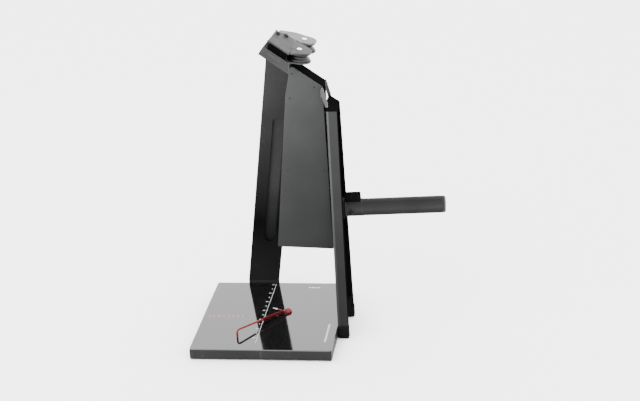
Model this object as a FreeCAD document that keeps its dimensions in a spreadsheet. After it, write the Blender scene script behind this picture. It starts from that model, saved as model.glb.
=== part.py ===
"""Compact plate-loaded cable tower: a base plate, a leaning mast, a tapered housing
on two rear legs, a twin-pulley head, a lifting weight horn and a loose pull handle.

Frame: +X towards the weight horn, +Y towards the mast foot, +Z up.
The origin is the middle of the base on the floor.  All sizes are in millimetres.
"""
import FreeCAD, Part
import math
import os
import re
import Sketcher

from FreeCAD import Placement, Rotation, Vector

SIZES = {
    # base plate
    "base_len": 420, "base_wid": 450, "mat_thk": 3, "mat_inset": 8,
    "slab_top": 32, "deck_top": 36, "base_round": 8,
    # leaning mast plate on the far edge of the base
    "mast_wid": 97, "mast_left": -110, "mast_shift": 155, "mast_rise": 912,
    "mast_thk": 8, "mast_tilt": 12.5, "mast_foot_y": 225, "mast_foot_z": 45,
    "tab_low": 6, "tab_thk": 8, "bolt_rad": 6, "bolt_head": 5,
    "slot_mid": -53, "slot_wid": 33, "slot_low": 152, "slot_high": 605, "liner_thk": 3, "liner_rim": 12,
    # tapered housing, outline in the X-Z plane
    "case_half": 33, "skin": 3,
    "case_bot_left_x": 40, "case_bot_left_z": 279, "case_bot_right_x": 204, "case_bot_right_z": 272,
    "case_top_right_x": 199, "case_top_right_z": 773, "case_peak_x": 111, "case_peak_z": 837,
    "case_shoulder_x": 92, "case_shoulder_z": 751,
    "rear_slot_half": 17, "rear_slot_low": 340, "rear_slot_high": 690,
    "screw_rad": 3.5, "screw_high": 1.6,
    # guide rods and carriage inside the housing
    "rod_x": 168, "rod_y": 16, "rod_rad": 6, "rod_low": 302, "rod_high": 740, "block_thk": 18,
    "block_x0": 146, "block_len": 44,
    "bumper_rad": 11, "bumper_high": 28,
    "car_x0": 148, "car_len": 42, "car_half": 27, "car_high": 120, "bush_rad": 9, "bush_gap": 0.06,
    "neck_len": 52, "neck_half": 13, "neck_high": 56,
    # weight horn
    "horn_x": 242, "horn_z": 390, "horn_rad": 25, "horn_wall": 3.5, "horn_len": 283, "horn_tilt": 2.3,
    "root_rad": 25.6, "root_len": 50,
    "cap_len": 9, "stop_len": 45, "stop_half": 14, "stop_top": 44,
    "pin_x": 21, "pin_drop": 1, "pin_rad": 4, "pin_gap": 0.06, "barrel_rad": 7, "barrel_len": 9,
    "knob_rad": 6, "knob_len": 9, "pin_depth": 12,
    # rear legs
    "leg_x0": 210.6, "leg_len": 32, "leg_lean": 5.4, "leg_thk": 17, "leg_web": 4, "leg_flange": 3.5,
    "leg_floor_y": 80, "leg_top_y": 37, "leg_top_z": 700, "leg_low_z": 6,
    "bridge_rear_z": 706, "bridge_front_z": 728, "boot_wall": 1.5, "boot_high": 40,
    "gusset_thk": 3,
    # head, in its own tilted frame: u down the slope, w along the slope's normal
    "head_x": 50, "head_z": 913.7, "head_tilt": 36, "head_half": 99,
    "low_u0": 0, "low_u1": 85, "plate_thk": 4, "skirt": 27, "low_far": 92, "low_skew": 10,
    "low_drop": 8, "bend_u": 68, "skirt_flare": 19,
    "top_u0": 4, "top_u1": 71.5, "head_gap": 19.5, "top_far": 31,
    # nose of the head: its plates bend to a flatter tilt where they carry the wheels
    "nose_x": 143, "nose_z": 888, "nose_tilt": 10, "lobe_rad": 36, "nose_far": 103, "nose_left": 80,
    "wheel_y": 49, "wheel_rad": 33, "groove_rad": 26, "wheel_thk": 22, "rim_thk": 4, "wheel_play": 1,
    "axle_rad": 5, "bearing_rad": 11, "bearing_gap": 0.05, "cap_rad": 9, "cap_high": 3,
    "spacer_u0": 11, "spacer_u1": 52, "spacer_near": 94.8, "spacer_far": 14, "cheek_u1": 71, "cheek_y": 86, "spacer_gap": 0.2,
    "head_bolt_rad": 6.5, "head_bolt_high": 5,
    # idler wheel inside the housing
    "idler_x": 131, "idler_z": 787, "idler_rad": 23, "idler_groove": 18, "idler_thk": 18, "idler_rim": 3,
    # loose pull handle lying on the deck
    "grip_x": -79.5, "grip_y": -148.2, "grip_turn": 53.6, "grip_high": 24, "grip_len": 213.3,
    "rod_thin": 3, "grip_drop": 3.98, "grip_rad": 4.6, "grip_from": 105, "grip_to": 190,
    "dome_rad": 11.5, "dome_lift": 0.3, "dome_sink": 1.2,
    "tab_at": 195, "tab_stem": 18, "tab_len": 22, "tab_stem_rad": 1.4, "tab_root": 2.7, "tab_tip": 1,
    "tab_yaw": 155,
}

doc = FreeCAD.newDocument("cable_tower")
sheet = doc.addObject("Spreadsheet::Sheet", "Sizes")
for row, (alias, value) in enumerate(SIZES.items(), start=1):
    sheet.set("A%d" % row, alias)
    sheet.set("B%d" % row, str(value))
    sheet.setAlias("B%d" % row, alias)
doc.recompute()

WORD = re.compile(r"[a-z][a-z_0-9]*")
OUTPUTS = []


def link(text):
    """Turn a formula over size names into one that reads the spreadsheet."""
    def swap(match):
        word = match.group(0)
        return "Sizes." + word if word in SIZES else word
    return WORD.sub(swap, str(text))


def bind(obj, **formulas):
    for name, text in formulas.items():
        obj.setExpression(name, link(text))
    return obj


def place(obj, x=0, y=0, z=0, turn=None):
    """Bind an object's position; turn is a fixed rotation."""
    if turn is not None:
        obj.Placement = Placement(Vector(0, 0, 0), turn)
    for axis, text in (("x", x), ("y", y), ("z", z)):
        obj.setExpression("Placement.Base." + axis, link(text))
    return obj


def box(name, dx, dy, dz, x=0, y=0, z=0):
    obj = doc.addObject("Part::Box", name)
    bind(obj, Length=dx, Width=dy, Height=dz)
    return place(obj, x, y, z)


def cylinder(name, radius, height, x=0, y=0, z=0, turn=None):
    obj = doc.addObject("Part::Cylinder", name)
    bind(obj, Radius=radius, Height=height)
    return place(obj, x, y, z, turn)


def cone(name, r_low, r_high, height, x=0, y=0, z=0, turn=None):
    obj = doc.addObject("Part::Cone", name)
    bind(obj, Radius1=r_low, Radius2=r_high, Height=height)
    return place(obj, x, y, z, turn)


def sphere(name, radius, x=0, y=0, z=0):
    obj = doc.addObject("Part::Sphere", name)
    bind(obj, Radius=radius)
    return place(obj, x, y, z)


def fuse(name, parts):
    obj = doc.addObject("Part::MultiFuse", name)
    obj.Shapes = parts
    return obj


def group(name, parts):
    """Identical separate solids kept in one object."""
    obj = doc.addObject("Part::Compound", name)
    obj.Links = parts
    return obj


def cut(name, base, tools):
    tool = tools[0] if len(tools) == 1 else fuse(name + "_tool", tools)
    obj = doc.addObject("Part::Cut", name)
    obj.Base = base
    obj.Tool = tool
    return obj


def common(name, first, second):
    obj = doc.addObject("Part::MultiCommon", name)
    obj.Shapes = [first, second]
    return obj


def role_plane(body, role):
    for feature in body.Origin.OriginFeatures:
        if feature.Role == role:
            return feature
    raise RuntimeError("no plane " + role)


def prism(name, corners, low, high):
    """A PartDesign body: an X-Z outline padded along +Y from low to high."""
    body = doc.addObject("PartDesign::Body", name)
    sketch = body.newObject("Sketcher::SketchObject", name + "_outline")
    sketch.AttachmentSupport = [(role_plane(body, "XZ_Plane"), "")]
    sketch.MapMode = "FlatFace"
    start = [(sheet_value(a), sheet_value(b)) for a, b in corners]
    count = len(start)
    for i in range(count):
        a = start[i]
        b = start[(i + 1) % count]
        sketch.addGeometry(Part.LineSegment(Vector(a[0], a[1], 0), Vector(b[0], b[1], 0)), False)
    for i in range(count):
        sketch.addConstraint(Sketcher.Constraint("Coincident", i, 2, (i + 1) % count, 1))
    for i, (first, second) in enumerate(corners):
        for kind, text, value in (("DistanceX", first, start[i][0]), ("DistanceY", second, start[i][1])):
            index = sketch.addConstraint(Sketcher.Constraint(kind, -1, 1, i, 1, value))
            sketch.setExpression("Constraints[%d]" % index, link(text))
    pad = body.newObject("PartDesign::Pad", name + "_pad")
    pad.Profile = sketch
    pad.Reversed = True
    bind(pad, Length="(%s) - (%s)" % (high, low))
    body.Tip = pad
    place(body, 0, low, 0)
    return body


def sheet_value(text):
    """The present number of a size formula."""
    probe = sheet_probe
    probe.setExpression("Length", "abs(%s) + 1" % link(text))
    probe.setExpression("Width", "abs((%s) + 20000)" % link(text))
    probe.recompute()
    return probe.Width.Value - 20000


sheet_probe = doc.addObject("Part::Box", "probe")


def wheel(name, radius, groove, thick, rim, bore):
    """A grooved wheel about its own +Z axis, standing on z = 0."""
    half = "(%s - 2 * %s) / 2" % (thick, rim)
    parts = [
        cylinder(name + "_rim_low", radius, rim),
        cone(name + "_v_low", radius, groove, half, z=rim),
        cone(name + "_v_high", groove, radius, half, z="%s + %s" % (rim, half)),
        cylinder(name + "_rim_high", radius, rim, z="%s - %s" % (thick, rim)),
    ]
    hole = cylinder(name + "_bore", bore, "%s + 2" % thick, z=-1)
    return cut(name + "_blank", fuse(name + "_stack", parts), [hole])


def moved(name, source, frame):
    """Carry finished local geometry to its fixed place in the assembly."""
    obj = doc.addObject("Part::Compound", name)
    obj.Links = [source]
    obj.Placement = frame
    return obj


def output(obj, label):
    OUTPUTS.append((obj, label))
    obj.Label = label
    return obj


def pill(name, wide, low, high, depth):
    """A round-ended bar along +Z, through the plate along Y."""
    turn = Rotation(Vector(1, 0, 0), -90)
    parts = [
        box(name + "_mid", wide, depth, "(%s) - (%s)" % (high, low), "-(%s) / 2" % wide, "-2", low),
        cylinder(name + "_low", "(%s) / 2" % wide, depth, 0, "-2", low, turn),
        cylinder(name + "_high", "(%s) / 2" % wide, depth, 0, "-2", high, turn),
    ]
    return fuse(name, parts)


def slanted(name, x0, x1, y0, y1, height, shift_x="0", shift_y="0"):
    """A straight bar with a rectangular foot and an equal, shifted top."""
    obj = doc.addObject("Part::Wedge", name)
    obj.Placement = Placement(Vector(0, 0, 0), Rotation(Vector(1, 0, 0), 90))
    bind(obj, Xmin=x0, Xmax=x1, Zmin="-(%s)" % y1, Zmax="-(%s)" % y0, Ymin="0", Ymax=height,
         X2min="(%s) + %s" % (x0, shift_x), X2max="(%s) + %s" % (x1, shift_x),
         Z2min="-((%s) + %s)" % (y1, shift_y), Z2max="-((%s) + %s)" % (y0, shift_y))
    return obj


AXIS_X = Rotation(Vector(0, 1, 0), 90)
AXIS_Y = Rotation(Vector(1, 0, 0), -90)


def round_uprights(name, source, radius):
    """Round the upright corner edges of a block."""
    doc.recompute()
    obj = doc.addObject("Part::Fillet", name)
    obj.Base = source
    edges = []
    for index, edge in enumerate(source.Shape.Edges, start=1):
        ends = [v.Point for v in edge.Vertexes]
        if len(ends) == 2 and (ends[0] - ends[1]).cross(Vector(0, 0, 1)).Length < 1e-6:
            edges.append((index, radius, radius))
    obj.Edges = edges
    return obj


def build_base():
    mat = box("mat_block", "base_len - 2 * mat_inset", "base_wid - 2 * mat_inset", "mat_thk",
              "mat_inset - base_len / 2", "mat_inset - base_wid / 2", 0)
    output(round_uprights("mat", mat, SIZES["base_round"]), "base_mat")
    slab = box("slab_block", "base_len", "base_wid", "slab_top - mat_thk",
               "-base_len / 2", "-base_wid / 2", "mat_thk")
    output(round_uprights("slab", slab, SIZES["base_round"]), "base_slab")
    deck = box("deck_block", "base_len", "base_wid", "deck_top - slab_top",
               "-base_len / 2", "-base_wid / 2", "slab_top")
    output(round_uprights("deck", deck, SIZES["base_round"]), "base_deck")


def head_frame():
    return Placement(Vector(SIZES["head_x"], 0, SIZES["head_z"]),
                     Rotation(Vector(0, 1, 0), SIZES["head_tilt"]))


def build_mast():
    lean = Placement(Vector(0, SIZES["mast_foot_y"], SIZES["mast_foot_z"]),
                     Rotation(Vector(1, 0, 0), SIZES["mast_tilt"]))
    blank = slanted("mast_blank", "mast_left", "mast_left + mast_wid", "0", "mast_thk", "mast_rise",
                    "mast_shift")
    slot = pill("mast_slot", "slot_wid", "slot_low + slot_wid / 2", "slot_high - slot_wid / 2",
                "mast_thk + 4")
    lean_in_plane = Rotation(Vector(0, 1, 0), 9.2)
    slot.Placement = Placement(Vector(SIZES["slot_mid"], 0, 0), lean_in_plane)
    plate = moved("mast_leaning", cut("mast_slotted", blank, [slot]), lean)
    above = moved("mast_cap_zone", box("mast_cap_block", "400", "400", "400", "-200", "-200", "-skirt"),
                  head_frame())
    below = box("mast_floor_zone", "400", "400", "200", "-200", "100", "mast_foot_z - 200")
    output(cut("mast", plate, [above, below]), "mast_plate")

    back = pill("liner_blank", "slot_wid + 2 * liner_rim", "slot_low + slot_wid / 2",
                "slot_high - slot_wid / 2", "liner_thk")
    back.Placement = Placement(
        Vector(SIZES["slot_mid"], SIZES["mast_thk"] + 2, 0), lean_in_plane)
    output(moved("mast_liner", back, lean), "mast_recess_liner")

    tab = box("tab_block", "mast_wid", "tab_thk", "mast_foot_z - tab_low",
              "mast_left", "mast_foot_y + 0.2", "tab_low")
    heads = []
    for i, place_x in enumerate(("mast_left + 18", "mast_left + mast_wid - 18")):
        heads.append(cylinder("foot_head_%d" % i, "bolt_rad * 1.5", "bolt_head",
                              place_x, "mast_foot_y + 0.2 + tab_thk", "20", AXIS_Y))
    output(tab, "mast_foot")
    output(group("foot_bolts", heads), "mast_foot_bolts")

    seat = box("seat_block", "47", "26", "skirt - plate_thk - low_drop", "13", "28", "-skirt")
    output(moved("head_seat", seat, head_frame()), "mast_head_seat")

    tie = box("tie_block", "17", "80", "36", "90", "case_half", "694")
    behind = moved("tie_zone", slanted("tie_blank", "mast_left - 60", "mast_left + mast_wid + 60", "0",
                                       "200", "mast_rise", "mast_shift"), lean)
    output(cut("mast_tie", tie, [behind]), "mast_tie_block")


def case_outline(inset):
    """The housing's corners in order, each moved in by roughly the given amount."""
    return [
        ("case_bot_left_x + 1.1 * %s" % inset, "case_bot_left_z + %s" % inset),
        ("case_bot_right_x - %s" % inset, "case_bot_right_z + %s" % inset),
        ("case_top_right_x - %s" % inset, "case_top_right_z - 0.55 * %s" % inset),
        ("case_peak_x + 0.85 * %s" % inset, "case_peak_z - 1.85 * %s" % inset),
        ("case_shoulder_x + %s" % inset, "case_shoulder_z"),
    ]


def build_housing():
    outer = prism("case_outer", case_outline("0"), "skin - case_half", "case_half - skin")
    inner = prism("case_inner", case_outline("skin"), "-case_half", "case_half")
    slot = box("case_rear_slot", "30", "2 * rear_slot_half", "rear_slot_high - rear_slot_low",
               "185", "-rear_slot_half", "rear_slot_low")
    output(cut("case_spine", outer, [inner, slot]), "housing_spine")
    output(prism("near_skin", case_outline("0"), "-case_half", "skin - case_half"), "housing_near_panel")
    output(prism("far_skin", case_outline("0"), "case_half - skin", "case_half"), "housing_far_panel")

    spots = [("60", "292"), ("190", "290"), ("190", "520"), ("176", "772"),
             ("114", "812"), ("104", "740"), ("84", "520")]
    for side, base_y in (("near", "-case_half - screw_high"), ("far", "case_half")):
        screws = []
        for i, (x, z) in enumerate(spots):
            if side == "far" and z == "740":
                continue
            screws.append(cylinder("%s_screw_%d" % (side, i), "screw_rad", "screw_high", x, base_y, z, AXIS_Y))
        output(group(side + "_screws", screws), "housing_%s_screws" % side)


def build_guides():
    rods = []
    bumpers = []
    for name, sign in (("near", "-"), ("far", "")):
        rods.append(cylinder("rod_" + name, "rod_rad", "rod_high - rod_low", "rod_x",
                             sign + "rod_y", "rod_low"))
        ring = cylinder("bumper_ring_" + name, "bumper_rad", "bumper_high", "rod_x",
                        sign + "rod_y", "rod_low")
        hole = cylinder("bumper_hole_" + name, "rod_rad + 0.1", "bumper_high + 2", "rod_x",
                        sign + "rod_y", "rod_low - 1")
        bumpers.append(cut("bumper_" + name, ring, [hole]))
    output(group("rods", rods), "guide_rods")
    output(group("bumpers", bumpers), "rod_bumpers")
    inside = "2 * (case_half - skin)"
    output(box("low_block", "block_len", inside, "block_thk", "block_x0", "skin - case_half",
               "rod_low - block_thk"), "rod_block_low")
    output(box("high_block", "block_len", inside, "block_thk", "block_x0", "skin - case_half",
               "rod_high"), "rod_block_high")

    rest = "rod_low + bumper_high"
    body = box("car_block", "car_len", "2 * car_half", "car_high", "car_x0", "-car_half", rest)
    bores = []
    bushes = []
    for name, sign in (("near", "-"), ("far", "")):
        bores.append(cylinder("car_bore_" + name, "bush_rad", "car_high + 2", "rod_x",
                              sign + "rod_y", rest + " - 1"))
        ring = cylinder("bush_ring_" + name, "bush_rad", "car_high", "rod_x", sign + "rod_y", rest)
        hole = cylinder("bush_hole_" + name, "rod_rad + bush_gap", "car_high + 2", "rod_x",
                        sign + "rod_y", rest + " - 1")
        bushes.append(cut("bush_" + name, ring, [hole]))
    output(cut("car_body", body, bores), "carriage_block")
    output(group("bushes", bushes), "carriage_bushes")
    output(box("neck", "neck_len", "2 * neck_half", "neck_high", "car_x0 + car_len", "-neck_half",
               "horn_z - neck_high / 2"), "carriage_neck")


def horn_frame():
    return Placement(Vector(SIZES["horn_x"], 0, SIZES["horn_z"]),
                     Rotation(Vector(0, 1, 0), -SIZES["horn_tilt"]))


def build_horn():
    frame = horn_frame()
    tube = cylinder("horn_tube", "horn_rad", "horn_len", 2, 0, 0, AXIS_X)
    root = cylinder("horn_root", "root_rad", "root_len", 2, 0, 0, AXIS_X)
    bore = cylinder("horn_bore", "horn_rad - horn_wall", "horn_len", "8", 0, 0, AXIS_X)
    pin_hole = cylinder("horn_pin_hole", "pin_rad + pin_gap", "horn_rad + 4", "pin_x",
                        "-horn_rad - 4", "-pin_drop", AXIS_Y)
    output(moved("horn", cut("horn_shape", fuse("horn_solid", [tube, root]), [bore, pin_hole]), frame), "weight_horn")

    flange = box("flange_block", "4", "42", "60", "-2", "-21", "-30")
    face = box("flange_trim", "20", "80", "100", "neck_len + car_x0 + car_len - 20", "-40", "horn_z - 50")
    output(cut("horn_flange", moved("flange_tilted", flange, frame), [face]), "horn_root_plate")

    plug = cylinder("cap_disc", "horn_rad - 0.5", "cap_len - 3", "horn_len + 2", 0, 0, AXIS_X)
    nose = cone("cap_nose", "horn_rad - 0.5", "horn_rad - 3", "3", "horn_len + cap_len - 1", 0, 0, AXIS_X)
    output(moved("horn_cap", fuse("cap_shape", [plug, nose]), frame), "horn_end_cap")

    stop = box("stop_block", "stop_len", "2 * stop_half", "stop_top - 15", "2", "-stop_half", "15")
    over = cylinder("stop_cut", "root_rad", "stop_len + 4", 0, 0, 0, AXIS_X)
    output(moved("stop", cut("stop_shape", stop, [over]), frame), "horn_stop_block")

    barrel = cylinder("barrel_rod", "barrel_rad", "barrel_len", "pin_x",
                      "-horn_rad - barrel_len + 2", "-pin_drop", AXIS_Y)
    barrel_bore = cylinder("barrel_bore", "pin_rad + pin_gap", "barrel_len + 6", "pin_x",
                           "-horn_rad - barrel_len", "-pin_drop", AXIS_Y)
    body = cylinder("barrel_trim", "root_rad", "horn_len", 2, 0, 0, AXIS_X)
    output(moved("barrel", cut("barrel_shape", barrel, [barrel_bore, body]), frame), "pin_barrel")

    knob_face = "-horn_rad - barrel_len + 2 - 0.4"
    knob = cylinder("pin_knob", "knob_rad", "knob_len", "pin_x", knob_face + " - knob_len",
                    "-pin_drop", AXIS_Y)
    shaft = cylinder("pin_shaft", "pin_rad", "barrel_len + pin_depth + 1", "pin_x",
                     knob_face + " - 1", "-pin_drop", AXIS_Y)
    output(moved("pull_pin", fuse("pin_shape", [knob, shaft]), frame), "pull_pin")


def leg(name, side):
    """A channel leg: outer face slants from the floor in to the top, open towards the middle."""
    slope = "(leg_floor_y - leg_top_y) / leg_top_z * (leg_top_z - leg_low_z)"
    foot = "leg_floor_y - (leg_floor_y - leg_top_y) / leg_top_z * leg_low_z"
    height = "leg_top_z - leg_low_z"
    if side == "near":
        outer_y = ("-(%s)" % foot, "-(%s) + leg_thk" % foot)
        inner_y = ("-(%s) + leg_web" % foot, "-(%s) + leg_thk + 5" % foot)
        shift = slope
    else:
        outer_y = ("%s - leg_thk" % foot, foot)
        inner_y = ("%s - leg_thk - 5" % foot, "%s - leg_web" % foot)
        shift = "(-(%s))" % slope
    outer = slanted(name + "_outer", "leg_x0", "leg_x0 + leg_len", outer_y[0], outer_y[1], height,
                    "(-leg_lean)", shift)
    inner = slanted(name + "_inner", "leg_x0 + leg_flange", "leg_x0 + leg_len - leg_flange",
                    inner_y[0], inner_y[1], height, "(-leg_lean)", shift)
    shape = cut(name + "_channel", outer, [inner])
    return moved(name, shape, Placement(Vector(0, 0, SIZES["leg_low_z"]), Rotation()))


def build_legs():
    near = output(leg("near_leg", "near"), "rear_leg_near")
    far = output(leg("far_leg", "far"), "rear_leg_far")
    corners = [
        ("leg_x0 - leg_lean", "leg_top_z"), ("leg_x0 - leg_lean + leg_len", "leg_top_z"),
        ("leg_x0 - leg_lean + leg_len", "bridge_rear_z"), ("leg_x0 - leg_lean", "bridge_front_z"),
    ]
    output(prism("bridge", corners, "-leg_top_y", "leg_top_y"), "rear_top_bridge")

    gusset = [
        ("case_top_right_x - 3", "case_top_right_z - 1"), ("case_top_right_x + 2", "case_top_right_z - 2"),
        ("leg_x0 + 2", "bridge_front_z - 2"), ("leg_x0 + 2", "leg_top_z + 14"),
        ("leg_x0 - leg_lean", "leg_top_z + 14"), ("case_top_right_x - 1", "leg_top_z + 42"),
    ]
    plates = [
        prism("gusset_near", gusset, "-leg_top_y - gusset_thk", "-leg_top_y"),
        prism("gusset_far", gusset, "leg_top_y", "leg_top_y + gusset_thk"),
    ]
    packers = [
        box("packer_near", "7", "leg_top_y - case_half", "24", "case_top_right_x - 6", "-leg_top_y", "742"),
        box("packer_far", "7", "leg_top_y - case_half", "24", "case_top_right_x - 6", "case_half", "742"),
    ]
    output(group("gussets", [fuse("gusset_pair_near", [plates[0], packers[0]]),
                             fuse("gusset_pair_far", [plates[1], packers[1]])]), "rear_gussets")

    boots = []
    for name, sign, part in (("near", -1, near), ("far", 1, far)):
        middle = "%d * (leg_floor_y - leg_thk / 2)" % sign
        blank = box("boot_block_" + name, "leg_len + boot_wall", "leg_thk + 2 * boot_wall + 3",
                    "boot_high", "leg_x0", middle + " - leg_thk / 2 - boot_wall - 1.5", "0")
        rounded = round_uprights("boot_round_" + name, blank, 2.5)
        boots.append(cut("boot_" + name, rounded, [part]))
    output(group("boots", boots), "leg_boots")

    beam = box("link_block", "leg_len - 2 * leg_flange - 2", "2 * (leg_floor_y - leg_web) - 10", "24",
               "leg_x0 + leg_flange + 1", "leg_web + 5 - leg_floor_y", "50")
    output(beam, "rear_cross_beam")


def nose_frame():
    return Placement(Vector(SIZES["nose_x"], 0, SIZES["nose_z"]),
                     Rotation(Vector(0, 1, 0), SIZES["nose_tilt"]))


def flat_outline(name, corners, low, high, frame):
    """A plate in a tilted frame: corners are (down the slope, across), low and high along the normal."""
    body = prism(name, corners, "-(%s)" % high, "-(%s)" % low)
    turned = moved(name + "_laid", body, Placement(Vector(0, 0, 0), Rotation(Vector(1, 0, 0), -90)))
    return moved(name + "_set", turned, frame)


def lobed(name, low, outlines):
    """A flatter plate of the nose: its outlines joined with the two round lobes over the wheels."""
    parts = []
    for i, corners in enumerate(outlines):
        parts.append(flat_outline("%s_sheet_%d" % (name, i), corners, low, "%s + plate_thk" % low,
                                  Placement(Vector(0, 0, 0), Rotation())))
    holes = []
    for side, sign in (("near", "-"), ("far", "")):
        parts.append(cylinder("%s_lobe_%s" % (name, side), "lobe_rad", "plate_thk", 0, sign + "wheel_y", low))
        holes.append(cylinder("%s_hole_%s" % (name, side), "axle_rad", "90", 0, sign + "wheel_y", "-60"))
    return moved(name + "_placed", cut(name + "_drilled", fuse(name + "_blank", parts), holes), nose_frame())


def behind_bend(name, bend, across):
    """The zone up the slope from a bend line, for trimming a flatter plate; across is its width from -Y."""
    block = box(name, "200", across, "200", bend + " - 200", "-200", "-100")
    return moved(name + "_set", block, head_frame())


def build_head():
    frame = head_frame()
    low_plate = [("low_u0", "-head_half"), ("bend_u", "-head_half"), ("bend_u", "low_far"),
                 ("low_u0 + low_skew", "low_far")]
    front = [("low_u0", "-head_half"), ("low_u0 + plate_thk", "-head_half"),
             ("low_u0 + plate_thk + low_skew", "low_far"), ("low_u0 + low_skew", "low_far")]
    near_skirt = [("low_u0", "-skirt"), ("low_u0", "0"), ("low_u1", "0"), ("low_u1 + skirt_flare", "-skirt")]
    low_nose = lobed("low_nose", "-2 * plate_thk - wheel_thk - 2 * wheel_play", [
        [("-40", "2 - head_half"), ("0", "-wheel_y - 20"), ("0", "wheel_y + 20"), ("-40", "low_far - 2")],
    ])
    far_skirt = box("low_skirt_far", "bend_u - low_skew", "plate_thk", "skirt - low_drop",
                    "low_skew", "low_far - plate_thk", "-skirt")
    output(fuse("head_low", [
        flat_outline("low_sheet", low_plate, "-low_drop - plate_thk", "-low_drop", frame),
        flat_outline("low_front", front, "-skirt", "0", frame),
        cut("low_nose_cut", low_nose, [behind_bend("low_trim", "bend_u", "400")]),
        moved("low_skirt_near_set", prism("low_skirt_near", near_skirt, "-head_half", "plate_thk - head_half"),
              frame),
        moved("low_skirt_far_set", far_skirt, frame),
    ]), "head_bottom_plate")

    cover = [("top_u0", "-head_half"), ("top_u1", "-head_half"), ("top_u1", "top_far"), ("36", "top_far"),
             ("12", "6"), ("6", "-30")]
    near_part = [("-40", "4 - head_half"), ("-18", "4 - head_half"), ("0", "-wheel_y - lobe_rad"),
                 ("14", "-16"), ("-20", "top_far"), ("-40", "top_far")]
    far_part = [("-nose_left", "17"), ("-nose_left", "nose_far"), ("-30", "nose_far"),
                ("0", "wheel_y + lobe_rad"), ("0", "17")]
    top_nose = lobed("top_nose", "-plate_thk", [near_part, far_part])
    output(fuse("head_high", [
        flat_outline("top_sheet", cover, "head_gap", "head_gap + plate_thk", frame),
        cut("top_nose_cut", top_nose, [behind_bend("top_trim", "top_u1", "200 + top_far - 14")]),
    ]), "head_top_plate")

    fill = "head_gap - 2 * spacer_gap"
    spacer = fuse("spacer_shape", [
        box("spacer_block", "spacer_u1 - spacer_u0", "spacer_near + spacer_far", fill + " + low_drop",
            "spacer_u0", "-spacer_near", "spacer_gap - low_drop"),
        box("spacer_cheek", "cheek_u1 - spacer_u1 + 1", "spacer_near - cheek_y", fill,
            "spacer_u1 - 1", "-spacer_near", "spacer_gap"),
    ])
    output(moved("head_spacer", spacer, frame), "head_spacer")
    bolts = []
    for i, (u, y) in enumerate((("17", "-6"), ("41", "16"))):
        bolts.append(cylinder("head_bolt_%d" % i, "head_bolt_rad", "head_bolt_high", u, y,
                              "head_gap + plate_thk"))
    output(moved("head_bolt_set", group("head_bolts_local", bolts), frame), "head_bolts")
    build_wheels(nose_frame())


def build_wheels(frame):
    axles = []
    low = "-2 * plate_thk - wheel_thk - 2 * wheel_play"
    for side, sign in (("near", "-"), ("far", "")):
        across = sign + "wheel_y"
        parts = [
            cylinder("axle_pin_" + side, "axle_rad", "1 + 5 - (%s)" % low, 0, across, low + " - 5"),
            cylinder("axle_cap_" + side, "cap_rad", "cap_high", 0, across, "0"),
            cylinder("axle_nut_" + side, "cap_rad", "5", 0, across, low + " - 5"),
        ]
        axles.append(fuse("axle_" + side, parts))
        turned = wheel("wheel_" + side, "wheel_rad", "groove_rad", "wheel_thk", "rim_thk", "bearing_rad")
        lift = "-plate_thk - wheel_play - wheel_thk"
        place(turned, 0, across, lift)
        output(moved("pulley_" + side, turned, frame), "pulley_" + side)
        ring = cylinder("bearing_ring_" + side, "bearing_rad", "wheel_thk", 0, across, lift)
        bore = cylinder("bearing_bore_" + side, "axle_rad + bearing_gap", "wheel_thk + 2", 0, across, lift + " - 1")
        output(moved("bearing_" + side, cut("bearing_cut_" + side, ring, [bore]), frame),
               "bearing_" + side)
    output(moved("axle_set", group("axles_local", axles), frame), "pulley_axles")


def build_idler():
    turned = wheel("idler", "idler_rad", "idler_groove", "idler_thk", "idler_rim", "axle_rad + bearing_gap")
    turned.Placement = Placement(Vector(0, 0, 0), AXIS_Y)
    place(turned, "idler_x", "-idler_thk / 2", "idler_z")
    output(turned, "idler_wheel")
    output(cylinder("idler_pin", "axle_rad", "2 * (case_half - skin)", "idler_x", "skin - case_half",
                    "idler_z", AXIS_Y), "idler_axle")
    collars = []
    for side, y in (("near", "-idler_thk / 2 - 0.5 - 6"), ("far", "idler_thk / 2 + 0.5")):
        ring = cylinder("collar_ring_" + side, "axle_rad + 3", "6", "idler_x", y, "idler_z", AXIS_Y)
        hole = cylinder("collar_hole_" + side, "axle_rad", "8", "idler_x", y + " - 1", "idler_z", AXIS_Y)
        collars.append(cut("collar_" + side, ring, [hole]))
    output(group("collars", collars), "idler_collars")


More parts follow.
